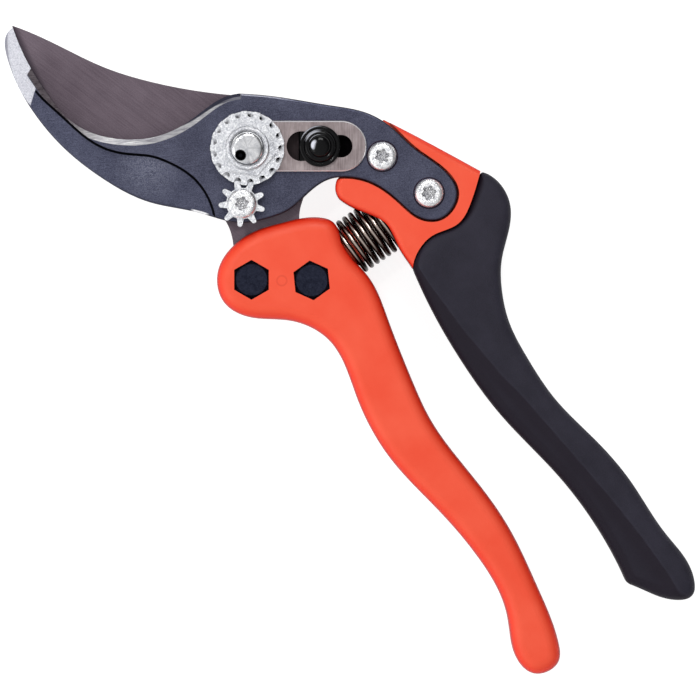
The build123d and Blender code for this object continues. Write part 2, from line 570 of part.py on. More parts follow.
# ---- screws and nuts that hold the arm to the core, and the tang to its handle ----
for which, centre in ARM_SCREWS.items():
    with BuildPart() as arm_screw:
        with BuildSketch(plane_at(centre, FLOOR_Z + SCREW_SINK)):
            Circle(M5_R)
        extrude(amount=ARM_TOP_Z - FLOOR_Z - SCREW_SINK)
        with BuildSketch(plane_at(centre, ARM_TOP_Z)):
            Circle(ARM_SCREW_HEAD_R)
        extrude(amount=ARM_SCREW_HEAD_HEIGHT)
        fillet(arm_screw.edges().group_by(Axis.Z)[-1], ARM_SCREW_ROUND)
        with BuildSketch(plane_at(centre, ARM_TOP_Z + ARM_SCREW_HEAD_HEIGHT)):
            star_drive(DRIVE_R)
        extrude(amount=-DRIVE_DEPTH, mode=Mode.SUBTRACT)
    save(arm_screw, f"arm_screw_{which}")

    with BuildPart() as arm_nut:
        with BuildSketch(plane_at(centre, FLOOR_Z + SCREW_SINK)):
            RegularPolygon(M5_NUT_FLATS / 2, 6, major_radius=False)
            Circle(M5_R + RUNNING_GAP, mode=Mode.SUBTRACT)
        extrude(amount=M5_NUT_HEIGHT)
    save(arm_nut, f"arm_nut_{which}")

for which, centre in TANG_SCREWS.items():
    shank_z = FLOOR_Z + SCREW_SINK + SCREW_HEAD_HEIGHT
    with BuildPart() as tang_screw:
        with BuildSketch(plane_at(centre, FLOOR_Z + SCREW_SINK)):
            Circle(SCREW_HEAD_R)
        extrude(amount=SCREW_HEAD_HEIGHT)
        fillet(tang_screw.edges().group_by(Axis.Z)[0], SCREW_HEAD_ROUND)
        with BuildSketch(plane_at(centre, shank_z)):
            Circle(M5_R)
        extrude(amount=TANG_SCREW_TOP_Z - shank_z)
        chamfer(tang_screw.edges().group_by(Axis.Z)[-1], TANG_SCREW_CHAMFER)
        with BuildSketch(plane_at(centre, FLOOR_Z + SCREW_SINK)):
            star_drive(DRIVE_R)
        extrude(amount=DRIVE_DEPTH, mode=Mode.SUBTRACT)
    save(tang_screw, f"tang_screw_{which}")

    with BuildPart() as tang_nut:
        with BuildSketch(plane_at(centre, BLADE_TOP_Z)):
            RegularPolygon(M5_NUT_FLATS / 2, 6, major_radius=False, rotation=TANG_NUT_TURNS[which])
        extrude(amount=M5_NUT_HEIGHT)
        # the corners of its top are turned off
        with BuildSketch(Plane(origin=(*centre, BLADE_TOP_Z), x_dir=(1, 0, 0), z_dir=(0, -1, 0))):
            Polygon((0, 0), (TANG_NUT_FALL_R, 0), (TANG_NUT_FALL_R, M5_NUT_HEIGHT - TANG_NUT_FALL),
                    (TANG_NUT_FACE_R, M5_NUT_HEIGHT), (0, M5_NUT_HEIGHT), align=None)
        revolve(axis=Axis((*centre, BLADE_TOP_Z), (0, 0, 1)), mode=Mode.INTERSECT)
        with BuildSketch(plane_at(centre, BLADE_TOP_Z)):
            Circle(M5_R + RUNNING_GAP)
        extrude(amount=TANG_NUT_BORE_TOP_Z - BLADE_TOP_Z, mode=Mode.SUBTRACT)
    save(tang_nut, f"tang_nut_{which}")

# ---- coil spring that pushes the handles apart ----
with BuildPart() as handle_spring:
    coil_start = spring_plane(SPRING_WIRE_R + SPRING_END_GAP)
    coil_height = SPRING_PITCH * SPRING_TURNS - 2 * SPRING_END_GAP
    with BuildLine() as coil:
        Helix(pitch=SPRING_PITCH, height=coil_height, radius=SPRING_R, center=coil_start.origin,
              direction=coil_start.z_dir)
    with BuildSketch(Plane(origin=coil.line @ 0, z_dir=coil.line % 0)):
        Circle(SPRING_WIRE_R)
    sweep()
save(handle_spring, "handle_spring")
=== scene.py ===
import math

import bmesh
import bpy
import numpy as np
from mathutils import Matrix, Vector


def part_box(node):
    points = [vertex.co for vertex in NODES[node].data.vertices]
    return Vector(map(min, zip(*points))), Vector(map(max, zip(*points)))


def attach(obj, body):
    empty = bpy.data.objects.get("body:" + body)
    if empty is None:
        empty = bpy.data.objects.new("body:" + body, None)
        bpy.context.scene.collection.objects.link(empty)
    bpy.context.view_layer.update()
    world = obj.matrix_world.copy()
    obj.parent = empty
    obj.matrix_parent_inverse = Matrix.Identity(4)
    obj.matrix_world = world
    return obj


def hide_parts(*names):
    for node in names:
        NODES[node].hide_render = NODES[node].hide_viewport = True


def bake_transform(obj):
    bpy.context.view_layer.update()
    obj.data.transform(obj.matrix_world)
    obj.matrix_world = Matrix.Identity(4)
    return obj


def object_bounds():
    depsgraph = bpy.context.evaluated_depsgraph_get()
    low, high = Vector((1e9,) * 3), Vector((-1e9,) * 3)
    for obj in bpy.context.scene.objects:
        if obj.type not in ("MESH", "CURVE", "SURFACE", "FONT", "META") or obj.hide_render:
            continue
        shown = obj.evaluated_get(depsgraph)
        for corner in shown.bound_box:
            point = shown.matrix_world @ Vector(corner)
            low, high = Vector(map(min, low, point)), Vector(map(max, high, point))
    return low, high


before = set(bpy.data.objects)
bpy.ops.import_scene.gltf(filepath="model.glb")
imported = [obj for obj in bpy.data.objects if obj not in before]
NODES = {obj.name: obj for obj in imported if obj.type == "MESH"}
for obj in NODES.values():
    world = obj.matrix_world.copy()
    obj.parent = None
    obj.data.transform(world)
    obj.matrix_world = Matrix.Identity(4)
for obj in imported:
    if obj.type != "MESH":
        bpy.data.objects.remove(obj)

# Bypass pruner, closed, lying on its back. Metres in the row frame: the pivot bolt is the Z axis,
# +X runs to the end of the fixed handle, and the jaws lie towards -X.

CAD_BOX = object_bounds()
MM = 0.001
ROOT_HALF = math.sqrt(0.5)


def seen(right, up, height):
    """A direction given as seen from above with the tool slanting down to the right."""
    return Vector((ROOT_HALF * (right - up), ROOT_HALF * (right + up), height))


def colour(red, green, blue):
    """An sRGB colour, 0 to 255, as the linear values that the shader takes."""
    def linear(value):
        value = value / 255.0
        return value / 12.92 if value <= 0.04045 else ((value + 0.055) / 1.055) ** 2.4
    return (linear(red), linear(green), linear(blue), 1.0)


# ---- camera, floor and light ----
CAMERA_HEIGHT = 3.0
FRAME_WIDTH = 0.168
VIEW_CENTRE = Vector((0.0516, -0.0168, 0.009))

camera_data = bpy.data.cameras.new("camera")
camera_data.sensor_width = 36.0
camera_data.lens = 36.0 * CAMERA_HEIGHT / FRAME_WIDTH
camera_data.clip_start = 0.1
camera_data.clip_end = 50.0
camera = bpy.data.objects.new("camera", camera_data)
right, up, back = seen(1, 0, 0), seen(0, 1, 0), Vector((0, 0, 1))
camera.matrix_world = Matrix((
    (right.x, up.x, back.x, VIEW_CENTRE.x),
    (right.y, up.y, back.y, VIEW_CENTRE.y),
    (right.z, up.z, back.z, VIEW_CENTRE.z + CAMERA_HEIGHT),
    (0, 0, 0, 1)))
bpy.context.scene.collection.objects.link(camera)
bpy.context.scene.camera = camera
bpy.context.scene.view_settings.view_transform = "Standard"

FLOOR_GAP = 0.00005   # keeps the floor just clear of the faces that the tool lies on

floor_z = CAD_BOX[0].z - FLOOR_GAP
floor_mesh = bpy.data.meshes.new("floor")
floor_mesh.from_pydata([(-20, -20, floor_z), (20, -20, floor_z), (20, 20, floor_z), (-20, 20, floor_z)],
                       [], [(0, 1, 2, 3)])
floor = bpy.data.objects.new("floor", floor_mesh)
bpy.context.scene.collection.objects.link(floor)
floor_material = bpy.data.materials.new("floor")
floor_material.use_nodes = True
floor_shader = floor_material.node_tree.nodes["Principled BSDF"]
floor_shader.inputs["Base Color"].default_value = (0.4, 0.4, 0.4, 1)
floor_shader.inputs["Roughness"].default_value = 1.0
floor_shader.inputs["Specular IOR Level"].default_value = 0.0
floor_shader.inputs["Emission Color"].default_value = (1, 1, 1, 1)
floor_shader.inputs["Emission Strength"].default_value = 0.86
floor_mesh.materials.append(floor_material)

# the studio is bright overhead and low on the left, and dark low on the upper right
world = bpy.data.worlds.new("studio")
bpy.context.scene.world = world
world.use_nodes = True
tree = world.node_tree
place = tree.nodes.new("ShaderNodeTexCoord")
towards_dark = tree.nodes.new("ShaderNodeVectorMath")
towards_dark.operation = "DOT_PRODUCT"
tree.links.new(place.outputs["Generated"], towards_dark.inputs[0])
dark_side = seen(0.75, 0.66, 0)
towards_dark.inputs[1].default_value = (-0.5 * dark_side.x, -0.5 * dark_side.y, 0.62)
ramp = tree.nodes.new("ShaderNodeValToRGB")
tree.links.new(towards_dark.outputs["Value"], ramp.inputs[0])
STUDIO = [(0.0, 0.16), (0.12, 0.26), (0.34, 0.62), (0.5, 0.68), (0.8, 0.8)]
elements = ramp.color_ramp.elements
while len(elements) < len(STUDIO):
    elements.new(0.5)
for element, (position, value) in zip(elements, STUDIO):
    element.position = position
    element.color = (value, value, value * 1.01, 1)
tree.links.new(ramp.outputs[0], tree.nodes["Background"].inputs["Color"])
tree.nodes["Background"].inputs["Strength"].default_value = 1.0


LIGHTS_FACE = Vector((0.05, -0.015, 0.0))


def area_light(name, where, size, power):
    """A square soft box that faces the tool."""
    data = bpy.data.lights.new(name, "AREA")
    data.shape = "SQUARE"
    data.size = size
    data.energy = power
    light = bpy.data.objects.new(name, data)
    light.location = where
    light.rotation_mode = "QUATERNION"
    light.rotation_quaternion = (LIGHTS_FACE - where).to_track_quat("-Z", "Y")
    bpy.context.scene.collection.objects.link(light)


area_light("key", seen(0.1, 0.85, 0.95), 0.5, 6.0)
area_light("fill", seen(-0.9, -0.35, 0.8), 0.8, 3.5)
area_light("spark", seen(-0.28, 0.32, 1.1), 0.07, 1.3)


# ---- measures taken from the CAD, in millimetres ----
def centre_of(name):
    """The middle of a node in plan."""
    low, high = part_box(name)
    return ((low.x + high.x) / 2 / MM, (low.y + high.y) / 2 / MM)


def radius_of(name):
    """Half the width of a round node."""
    low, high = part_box(name)
    return (high.x - low.x) / 2 / MM


def top_of(name):
    """The height of a node's highest point."""
    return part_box(name)[1].z / MM


ARM_TOP = top_of("counter_blade")
HOOK_FACE = ARM_TOP - 1.6              # the hook's face, below its step
PLATE_TOP = top_of("latch_plate")
NUT_TOP = top_of("adjusting_nut")      # the top of its collar
BOLT_TOP = top_of("pivot_bolt")
KNOB_TOP = top_of("latch_knob")

# the coil spring: its foot in the blade's handle, its axis, and the wire's path
SPRING_FOOT = Vector((33.95, -0.55, 3.4))
SPRING_LEAN = math.radians(79)         # from +X
SPRING_AXIS = Vector((math.cos(SPRING_LEAN), math.sin(SPRING_LEAN), 0))
SPRING_R = 6.5                         # to the middle of the wire
WIRE_R = 0.62
SPRING_PITCH = 1.66
SPRING_TURNS = 8
SPRING_START = 0.7                     # from the seat to the middle of the wire's end
SPRING_TURN_FROM = math.radians(-75)   # both ends of the wire lie at the coil's sides
STEPS_PER_TURN = 40
WIRE_SIDES = 14
CAP_STEPS = 4


# ---- materials ----
class Shader:
    """A node material, built from short calls. Lengths are millimetres on the piece itself."""

    def __init__(self, name, **values):
        self.material = bpy.data.materials.new(name)
        self.material.use_nodes = True
        self.tree = self.material.node_tree
        self.principled = self.tree.nodes["Principled BSDF"]
        self.place = self.tree.nodes.new("ShaderNodeTexCoord")
        for socket, value in values.items():
            self.principled.inputs[socket.replace("_", " ")].default_value = value

    def node(self, kind, inputs=(), **settings):
        """A node, with its inputs linked or set."""
        made = self.tree.nodes.new(kind)
        for key, value in settings.items():
            setattr(made, key, value)
        for key, value in dict(inputs).items():
            if isinstance(value, bpy.types.NodeSocket):
                self.tree.links.new(value, made.inputs[key])
            else:
                made.inputs[key].default_value = value
        return made

    def spot(self, stretch=(1, 1, 1), turn=0.0):
        """Object coordinates in millimetres, turned about Z and stretched along the turned axes."""
        turned = self.node("ShaderNodeMapping", {0: self.place.outputs["Object"],
                                                 "Rotation": (0, 0, math.radians(-turn))})
        scale = tuple(1 / MM / s for s in stretch)
        return self.node("ShaderNodeMapping", {0: turned.outputs[0], "Scale": scale}).outputs[0]

    def noise(self, size, detail=3.0, rough=0.55, stretch=(1, 1, 1), turn=0.0, low=0.3, high=0.7):
        """Noise whose blots are about size millimetres, brought to 0..1."""
        made = self.node("ShaderNodeTexNoise", {0: self.spot(stretch, turn), "Scale": 1.0 / size,
                                                "Detail": detail, "Roughness": rough})
        return self.node("ShaderNodeMapRange", {0: made.outputs[0], 1: low, 2: high}).outputs[0]

    def spread(self, factor, start, end, low=0.0, high=1.0):
        """A value that runs from low, where the factor is start, to high, where it is end."""
        return self.node("ShaderNodeMapRange", {0: factor, 1: start, 2: end, 3: low, 4: high}).outputs[0]

    def maths(self, operation, a, b=0.0):
        """One sum on two values."""
        return self.node("ShaderNodeMath", {0: a, 1: b}, operation=operation).outputs[0]

    def both(self, *factors):
        """The product of several factors."""
        made = factors[0]
        for factor in factors[1:]:
            made = self.maths("MULTIPLY", made, factor)
        return made

    def mix(self, factor, a, b):
        """Colour a where the factor is 0, and colour b where it is 1."""
        made = self.node("ShaderNodeMix", {0: factor}, data_type="RGBA")
        for key, value in ((6, a), (7, b)):
            if isinstance(value, bpy.types.NodeSocket):
                self.tree.links.new(value, made.inputs[key])
            else:
                made.inputs[key].default_value = value
        return made.outputs[2]

    def axis(self, name, source="Object"):
        """One coordinate of the piece, in millimetres, or of its surface normal."""
        split = self.node("ShaderNodeSeparateXYZ", {0: self.place.outputs[source]})
        if source == "Normal":
            return split.outputs[name]
        return self.maths("MULTIPLY", split.outputs[name], 1 / MM)

    def leaning(self, direction):
        """How far the surface leans towards a direction: the cosine between it and the normal."""
        made = self.node("ShaderNodeVectorMath", {0: self.place.outputs["Normal"], 1: direction.normalized()},
                         operation="DOT_PRODUCT")
        return made.outputs["Value"]

    def between(self, value, low, high, soft):
        """1 where a value lies between two limits, with soft ends."""
        return self.both(self.spread(value, low - soft, low), self.spread(value, high, high + soft, 1.0, 0.0))

    def away(self, x, y):
        """The distance, in millimetres, from an upright line."""
        centre = self.node("ShaderNodeVectorMath", {0: self.place.outputs["Object"], 1: (x * MM, y * MM, 0)},
                           operation="SUBTRACT")
        flat = self.node("ShaderNodeVectorMath", {0: centre.outputs[0], 1: (1, 1, 0)}, operation="MULTIPLY")
        length = self.node("ShaderNodeVectorMath", {0: flat.outputs[0]}, operation="LENGTH")
        return self.maths("MULTIPLY", length.outputs["Value"], 1 / MM)

    def turn(self):
        """The angle round the pivot, in turns from -X."""
        return self.node("ShaderNodeTexGradient", {0: self.place.outputs["Object"]},
                         gradient_type="RADIAL").outputs[1]

    def bump(self, height, depth, below=None):
        """Relief whose full height is depth millimetres, on top of other relief if that is given."""
        made = self.node("ShaderNodeBump", {"Height": height, "Distance": depth * MM, "Strength": 1.0})
        if below is not None:
            self.tree.links.new(below, made.inputs["Normal"])
        return made.outputs[0]

    def feed(self, **sockets):
        """The finished material, with these values linked to its shader."""
        for name, source in sockets.items():
            self.tree.links.new(source, self.principled.inputs[name.replace("_", " ")])
        return self.material


def finish_node(material, *names):
    """Gives the CAD nodes a material."""
    for name in names:
        mesh = NODES[name].data
        mesh.materials.clear()
        mesh.materials.append(material)


GATE_MARK = (28.3, -16.6)         # where the mould's gate was, between the two hexagon pockets
GATE_MARK_R = (1.05, 1.3)


def plastic_orange():
    """Moulded plastic: saturated where it turns away, slightly mottled, with a painted sheen that makes its
    flats paler and painted shade on its steepest edges.
    """
    s = Shader("orange_plastic", Specular_IOR_Level=0.22)
    facing = s.axis("Z", "Normal")
    mottle = s.noise(11.0, 3.0)
    # painted sheen: the flats take this paler colour
    pale = s.mix(mottle, colour(239, 80, 52), colour(244, 92, 64))
    base = s.mix(s.spread(facing, 0.5, 0.97), colour(238, 44, 18), pale)
    # painted shade: the edges that turn most steeply away are darkened
    base = s.mix(s.spread(facing, 0.05, 0.6, 0.9, 0.0), base, colour(132, 6, 0))
    gate = s.both(s.between(s.away(*GATE_MARK), *GATE_MARK_R, 0.15), s.spread(facing, 0.9, 0.99))
    base = s.mix(s.maths("MULTIPLY", gate, 0.35), base, colour(205, 60, 40))
    grain = s.noise(0.35, 2.0)
    scuffs = s.both(s.noise(0.3, 4.0, 0.7, stretch=(14, 1, 1), turn=-25.0, low=0.62, high=0.8),
                    s.noise(16.0, 2.0, low=0.5, high=0.7))
    base = s.mix(s.maths("MULTIPLY", scuffs, 0.4), base, colour(246, 128, 104))
    return s.feed(Base_Color=base, Roughness=s.spread(grain, 0, 1, 0.34, 0.5), Normal=s.bump(grain, 0.012))


def rubber_black():
    """Matte moulded rubber with a fine pebbled skin, and painted shade on the flank that faces the other
    handle.
    """
    s = Shader("black_rubber", Specular_IOR_Level=0.2)
    grain = s.noise(0.22, 3.0)
    blot = s.noise(7.0, 3.0)
    base = s.mix(blot, colour(30, 28, 38), colour(40, 38, 49))
    base = s.mix(s.maths("MULTIPLY", grain, 0.3), base, colour(60, 57, 73))
    # painted shade on the flank that leans towards the other handle
    base = s.mix(s.spread(s.leaning(seen(-1.0, -0.75, 0)), 0.06, 0.22, 0.0, 0.8), base, colour(21, 13, 26))
    return s.feed(Base_Color=base, Roughness=s.spread(grain, 0, 1, 0.55, 0.75), Normal=s.bump(grain, 0.03))


def steel(name, dark, light, size, rough=(0.3, 0.5), depth=0.01):
    """Plain steel, mottled and finely grained."""
    s = Shader(name, Metallic=1.0)
    blots = s.noise(size, 4.0, 0.65)
    fine = s.noise(0.3, 3.0)
    mixed = s.maths("ADD", s.maths("MULTIPLY", blots, 0.6), s.maths("MULTIPLY", fine, 0.4))
    return s.feed(Base_Color=s.mix(mixed, dark, light), Roughness=s.spread(fine, 0, 1, *rough),
                  Normal=s.bump(fine, depth))


BEVEL_LEAN = (0.79, 0.86)         # the bevel's normal, along Z
BEVEL_TURN = -38.0                # its grinding marks lie square to this, in degrees from +X
BEVEL_END_X = -11.6
TIP_START_X = (-43.4, -43.2)
TIP_RIM_CENTRE = (-41.77, -5.34)  # the circle that the hook's rim follows round its ground tip
TIP_RIM_R = 24.65
FACE_HIGHLIGHT_AT = (-13.5, -20.0)          # where the painted highlight on the hook's face is brightest
FACE_HIGHLIGHT_R = (1.0, 9.5)
WORN_HIGHLIGHT_AT = (2.6, -18.6)            # a worn spot on the hook's rim, brightened by a painted highlight
WORN_HIGHLIGHT_R = (1.4, 2.4)


def steel_counter_blade():
    """Blackened steel with a bright ground bevel, a ground tip, painted shade in the step and along its
    edges, a painted highlight on the hook's face, a worn spot with a painted highlight on the hook's rim, and
    a painted highlight along the rim above the pivot.
    """
    s = Shader("dark_steel", Metallic=1.0)
    x, z = s.axis("X"), s.axis("Z")
    facing = s.axis("Z", "Normal")
    fine = s.noise(0.3, 3.0)
    blots = s.noise(9.0, 3.0, 0.6)
    sharp = s.noise(0.2, 2.0, 0.7, low=0.35, high=0.65)
    mixed = s.maths("ADD", s.maths("MULTIPLY", blots, 0.35), s.maths("MULTIPLY", sharp, 0.65))
    base = s.mix(mixed, colour(50, 51, 66), colour(92, 94, 112))
    # the hook's face is a little lighter, and a painted highlight lies on it, strongest just below the step
    hook_face = s.both(s.between(z, HOOK_FACE - 0.7, HOOK_FACE + 0.1, 0.1), s.spread(facing, 0.9, 0.99))
    lighter = s.mix(mixed, colour(48, 50, 68), colour(94, 97, 117))
    base = s.mix(s.maths("MULTIPLY", hook_face, 0.5), base, lighter)
    face_highlight = s.both(hook_face, s.spread(s.away(*FACE_HIGHLIGHT_AT), *FACE_HIGHLIGHT_R, 1.0, 0.0),
                  s.noise(0.3, 3.0, 0.75, low=0.42, high=0.75))
    base = s.mix(s.maths("MULTIPLY", face_highlight, 0.75), base, colour(150, 152, 168))
    # painted shade: dark in the step, along the edges that turn down and in the well under the latch
    step = s.both(s.between(z, HOOK_FACE + 0.002, HOOK_FACE + 0.58, 0.002),
                  s.spread(facing, 0.97, 0.9995, 1.0, 0.0), s.spread(x, 9.0, 10.0, 1.0, 0.0))
    base = s.mix(step, base, colour(8, 8, 12))
    turned = s.spread(facing, 0.3, 0.9, 1.0, 0.0)
    base = s.mix(s.maths("MULTIPLY", turned, 0.9), base, colour(16, 16, 24))
    latch_well_shade = s.both(s.spread(z, ARM_TOP - 3.9, ARM_TOP - 2.8, 1.0, 0.0), s.spread(x, 5.0, 6.0))
    base = s.mix(latch_well_shade, base, colour(10, 8, 10))
    # a painted shadow: a dark rim round each screw's head
    for screw in ("arm_screw_front", "arm_screw_rear"):
        head_r = radius_of(screw)
        head_shadow = s.both(s.between(s.away(*centre_of(screw)), head_r - 0.2, head_r + 0.22, 0.16),
                        s.spread(z, ARM_TOP - 0.2, ARM_TOP - 0.05))
        base = s.mix(s.maths("MULTIPLY", head_shadow, 0.85), base, colour(30, 6, 14))
    # the bevel: bright in its middle, browner towards the tip, with slanting grinding marks,
    # and narrowing at its upper end to a thin line beside the face
    lowest = s.spread(x, BEVEL_END_X - 3.4, BEVEL_END_X, ARM_TOP - 1.04, ARM_TOP - 0.2)
    above = s.spread(s.maths("SUBTRACT", z, lowest), 0.0, 0.1)
    bevel = s.both(s.between(facing, *BEVEL_LEAN, 0.02), above,
                   s.spread(z, ARM_TOP - 0.03, ARM_TOP, 1.0, 0.0),
                   s.spread(x, BEVEL_END_X - 0.8, BEVEL_END_X + 0.7, 1.0, 0.0))
    shade = s.both(s.between(facing, *BEVEL_LEAN, 0.02), s.between(z, ARM_TOP - 1.0, ARM_TOP - 0.02, 0.04),
                   s.spread(x, BEVEL_END_X - 3.9, BEVEL_END_X - 0.4))
    base = s.mix(shade, base, colour(62, 62, 76))
    marks = s.noise(0.35, 3.0, 0.6, stretch=(1, 12, 12), turn=BEVEL_TURN)
    bright = s.mix(marks, colour(178, 176, 186), colour(255, 255, 255))
    brown = s.mix(s.noise(0.5, 4.0, 0.7, stretch=(1, 5, 5), turn=BEVEL_TURN),
                  colour(92, 80, 88), colour(176, 166, 172))
    ground = s.mix(s.spread(x, -36.0, -26.0), brown, bright)
    base = s.mix(bevel, base, ground)
    # the tip: silver, finely speckled, with a grey rim
    tip = s.both(s.spread(x, *TIP_START_X, 1.0, 0.0),
                 s.spread(z, HOOK_FACE - 0.04, HOOK_FACE - 0.01, 1.0, 0.0), s.spread(facing, 0.97, 0.985))
    speckle = s.noise(0.35, 4.0, 0.75)
    base = s.mix(tip, base, s.mix(speckle, colour(176, 177, 188), colour(244, 244, 248)))
    tip_rim = s.both(tip, s.spread(s.away(*TIP_RIM_CENTRE), TIP_RIM_R - 0.5, TIP_RIM_R - 0.25))
    base = s.mix(tip_rim, base, colour(118, 118, 130))
    # a worn spot on the hook's rim with a painted highlight, and a painted highlight along the rim above the
    # pivot
    worn = s.both(s.spread(s.away(*WORN_HIGHLIGHT_AT), *WORN_HIGHLIGHT_R, 1.0, 0.0),
                  s.spread(z, HOOK_FACE - 0.02, HOOK_FACE + 0.1, 1.0, 0.0),
                  s.spread(facing, 0.2, 0.6), s.spread(facing, 0.97, 0.999, 1.0, 0.0))
    base = s.mix(worn, base, colour(250, 250, 252))
    # painted highlight along the rim above the pivot
    rim = s.both(s.between(facing, 0.6, 0.97, 0.02), s.between(z, ARM_TOP - 0.45, ARM_TOP - 0.01, 0.02),
                 s.spread(x, -13.0, -11.0), s.spread(x, -5.0, 1.0, 1.0, 0.0))
    base = s.mix(s.maths("MULTIPLY", rim, 0.35), base, colour(190, 190, 200))
    polished = s.maths("MAXIMUM", bevel, tip)
    rough = s.maths("SUBTRACT", s.spread(fine, 0, 1, 0.36, 0.52), s.maths("MULTIPLY", polished, 0.08))
    relief = s.bump(marks, 0.02, s.bump(fine, 0.01))
    return s.feed(Base_Color=base, Roughness=rough, Normal=relief)


HOOK_SHADOW_ACROSS = (0.341, 0.940)      # the direction away from the cutting edge near the tip
HOOK_SHADOW_AT = -38.55                  # and where the edge lies along it
HOOK_SHADOW_WIDTH = 1.1
HOOK_SHADOW_END_X = (-45.0, -38.0)


def steel_ground():
    """The blade: brown-grey ground steel with long slanting grinding lines, painted shade at the edges that
    turn away, and a painted shadow of the hook along its cutting edge near the tip.
    """
    s = Shader("ground_steel", Metallic=1.0)
    lines = s.noise(0.28, 3.0, 0.6, stretch=(34, 1, 1), turn=8.0)
    cloud = s.noise(14.0, 3.0)
    fine = s.noise(0.3, 3.0)
    mixed = s.maths("ADD", s.maths("MULTIPLY", lines, 0.35), s.maths("MULTIPLY", cloud, 0.4))
    mixed = s.maths("ADD", mixed, s.maths("MULTIPLY", fine, 0.25))
    base = s.mix(mixed, colour(80, 70, 78), colour(120, 108, 117))
    # painted shade where the surface turns away
    turned = s.spread(s.axis("Z", "Normal"), -0.2, 0.4, 1.0, 0.0)
    base = s.mix(s.maths("MULTIPLY", turned, 0.5), base, colour(60, 54, 60))
    # a painted shadow of the hook: a dark line along the cutting edge, where it leaves the hook near the tip
    from_edge = s.maths("ADD", s.maths("MULTIPLY", s.axis("X"), HOOK_SHADOW_ACROSS[0]),
                        s.maths("MULTIPLY", s.axis("Y"), HOOK_SHADOW_ACROSS[1]))
    hook_shadow = s.both(s.spread(from_edge, HOOK_SHADOW_AT, HOOK_SHADOW_AT + HOOK_SHADOW_WIDTH, 1.0, 0.0),
                  s.spread(s.axis("X"), *HOOK_SHADOW_END_X, 1.0, 0.0))
    base = s.mix(s.maths("MULTIPLY", hook_shadow, 0.6), base, colour(44, 38, 46))
    return s.feed(Base_Color=base, Roughness=s.spread(lines, 0, 1, 0.36, 0.5), Normal=s.bump(lines, 0.006))


NOTCHES = 17.0
NOTCH_START = -50.5 / 360.0 - 0.5   # the angle, in turns, of the ridge that stands over the star
NOTCH_INNER_R = (8.0, 8.4)
NUT_COLLAR_EDGE_R = (5.0, 5.15)


def steel_nut():
    """Zinc plate, rough and speckled, with painted shade in the inner end of each notch, heavier towards +X
    and +Y.

    Its marks are placed on the nut. The star wears the same finish.
    """
    s = Shader("zinc_nut", Metallic=1.0)
    speckle = s.noise(0.5, 4.0, 0.75)
    base = s.mix(speckle, colour(166, 169, 178), colour(255, 255, 255))
    worn = s.both(s.noise(2.6, 4.0, 0.7, low=0.45, high=0.7), s.spread(s.away(0.0, 0.0), 7.2, 8.2, 1.0, 0.0))
    base = s.mix(s.maths("MULTIPLY", worn, 0.45), base, colour(128, 131, 142))
    # painted shade in the notches, on one wall of each, stronger on the side towards +X and +Y
    inner = s.spread(s.away(0.0, 0.0), *NOTCH_INNER_R, 1.0, 0.0)
    floor_of_notch = s.spread(s.axis("Z"), NUT_TOP - 2.5, NUT_TOP - 2.3, 1.0, 0.0)
    shaded_side = s.spread(s.maths("ADD", s.axis("X"), s.axis("Y")), -9.0, 2.0, 0.7, 1.0)
    ring = s.both(s.between(s.away(0.0, 0.0), *NUT_COLLAR_EDGE_R, 0.12),
                  s.spread(s.axis("Z"), NUT_TOP - 0.65, NUT_TOP - 0.55, 1.0, 0.0))
    base = s.mix(s.maths("MULTIPLY", ring, 0.7), base, colour(84, 84, 94))
    share = s.maths("FRACT", s.maths("MULTIPLY", s.maths("SUBTRACT", s.turn(), NOTCH_START), NOTCHES))
    base = s.mix(s.both(inner, floor_of_notch, shaded_side, s.spread(share, 0.36, 0.56, 0.3, 1.0)), base,
                 colour(22, 20, 26))
    return s.feed(Base_Color=base, Roughness=s.spread(speckle, 0, 1, 0.5, 0.32), Normal=s.bump(speckle, 0.05))


SCREW_RECESS_R = (1.9, 2.0)


def steel_screw(name, screw, deepest, shallowest):
    """Zinc plate, mottled, with mottled painted shade inside the screwdriver recess.

    The recess is dark between two depths below the top of the screw's head.
    """
    s = Shader(name, Metallic=1.0)
    speckle = s.noise(0.8, 4.0, 0.75, low=0.3, high=0.55)
    base = s.mix(speckle, colour(148, 150, 160), colour(255, 255, 255))
    top = top_of(screw)
    recess = s.both(s.spread(s.away(*centre_of(screw)), *SCREW_RECESS_R, 1.0, 0.0),
                    s.between(s.axis("Z"), top - deepest, top - shallowest, 0.05))
    # painted shade in the recess, broken up by noise
    recess_mottle = s.noise(0.35, 4.0, 0.8, low=0.35, high=0.62)
    base = s.mix(s.both(recess, recess_mottle), base, colour(76, 76, 84))
    return s.feed(Base_Color=base, Roughness=s.spread(speckle, 0, 1, 0.42, 0.24),
                  Normal=s.bump(speckle, 0.05))


def steel_brushed():
    """The latch's plate, brushed square to the latch's slide, with painted highlights on its rims."""
    s = Shader("brushed_steel", Metallic=1.0)
    lines = s.noise(0.2, 3.0, 0.6, stretch=(1, 26, 1), turn=45.0)
    cloud = s.noise(3.5, 3.0)
    mixed = s.maths("ADD", s.maths("MULTIPLY", lines, 0.55), s.maths("MULTIPLY", cloud, 0.45))
    base = s.mix(mixed, colour(116, 103, 104), colour(182, 170, 170))
    # painted highlight on the rims of the plate's top
    rim = s.both(s.between(s.axis("Z", "Normal"), 0.5, 0.9, 0.05),
                 s.spread(s.axis("Z"), PLATE_TOP - 0.4, PLATE_TOP - 0.25))
    base = s.mix(rim, base, colour(236, 234, 236))
    # painted shade: below the plate's own underside, the leaf spring is dark
    base = s.mix(s.spread(s.axis("Z"), ARM_TOP - 0.2, ARM_TOP - 0.02, 0.92, 0.0), base, colour(22, 14, 18))
    return s.feed(Base_Color=base, Roughness=s.spread(lines, 0, 1, 0.3, 0.46), Normal=s.bump(lines, 0.008))


BOLT_DARK_SPOT = (0.1, -2.4)
BOLT_DARK_SPOT_R = (1.1, 1.45)


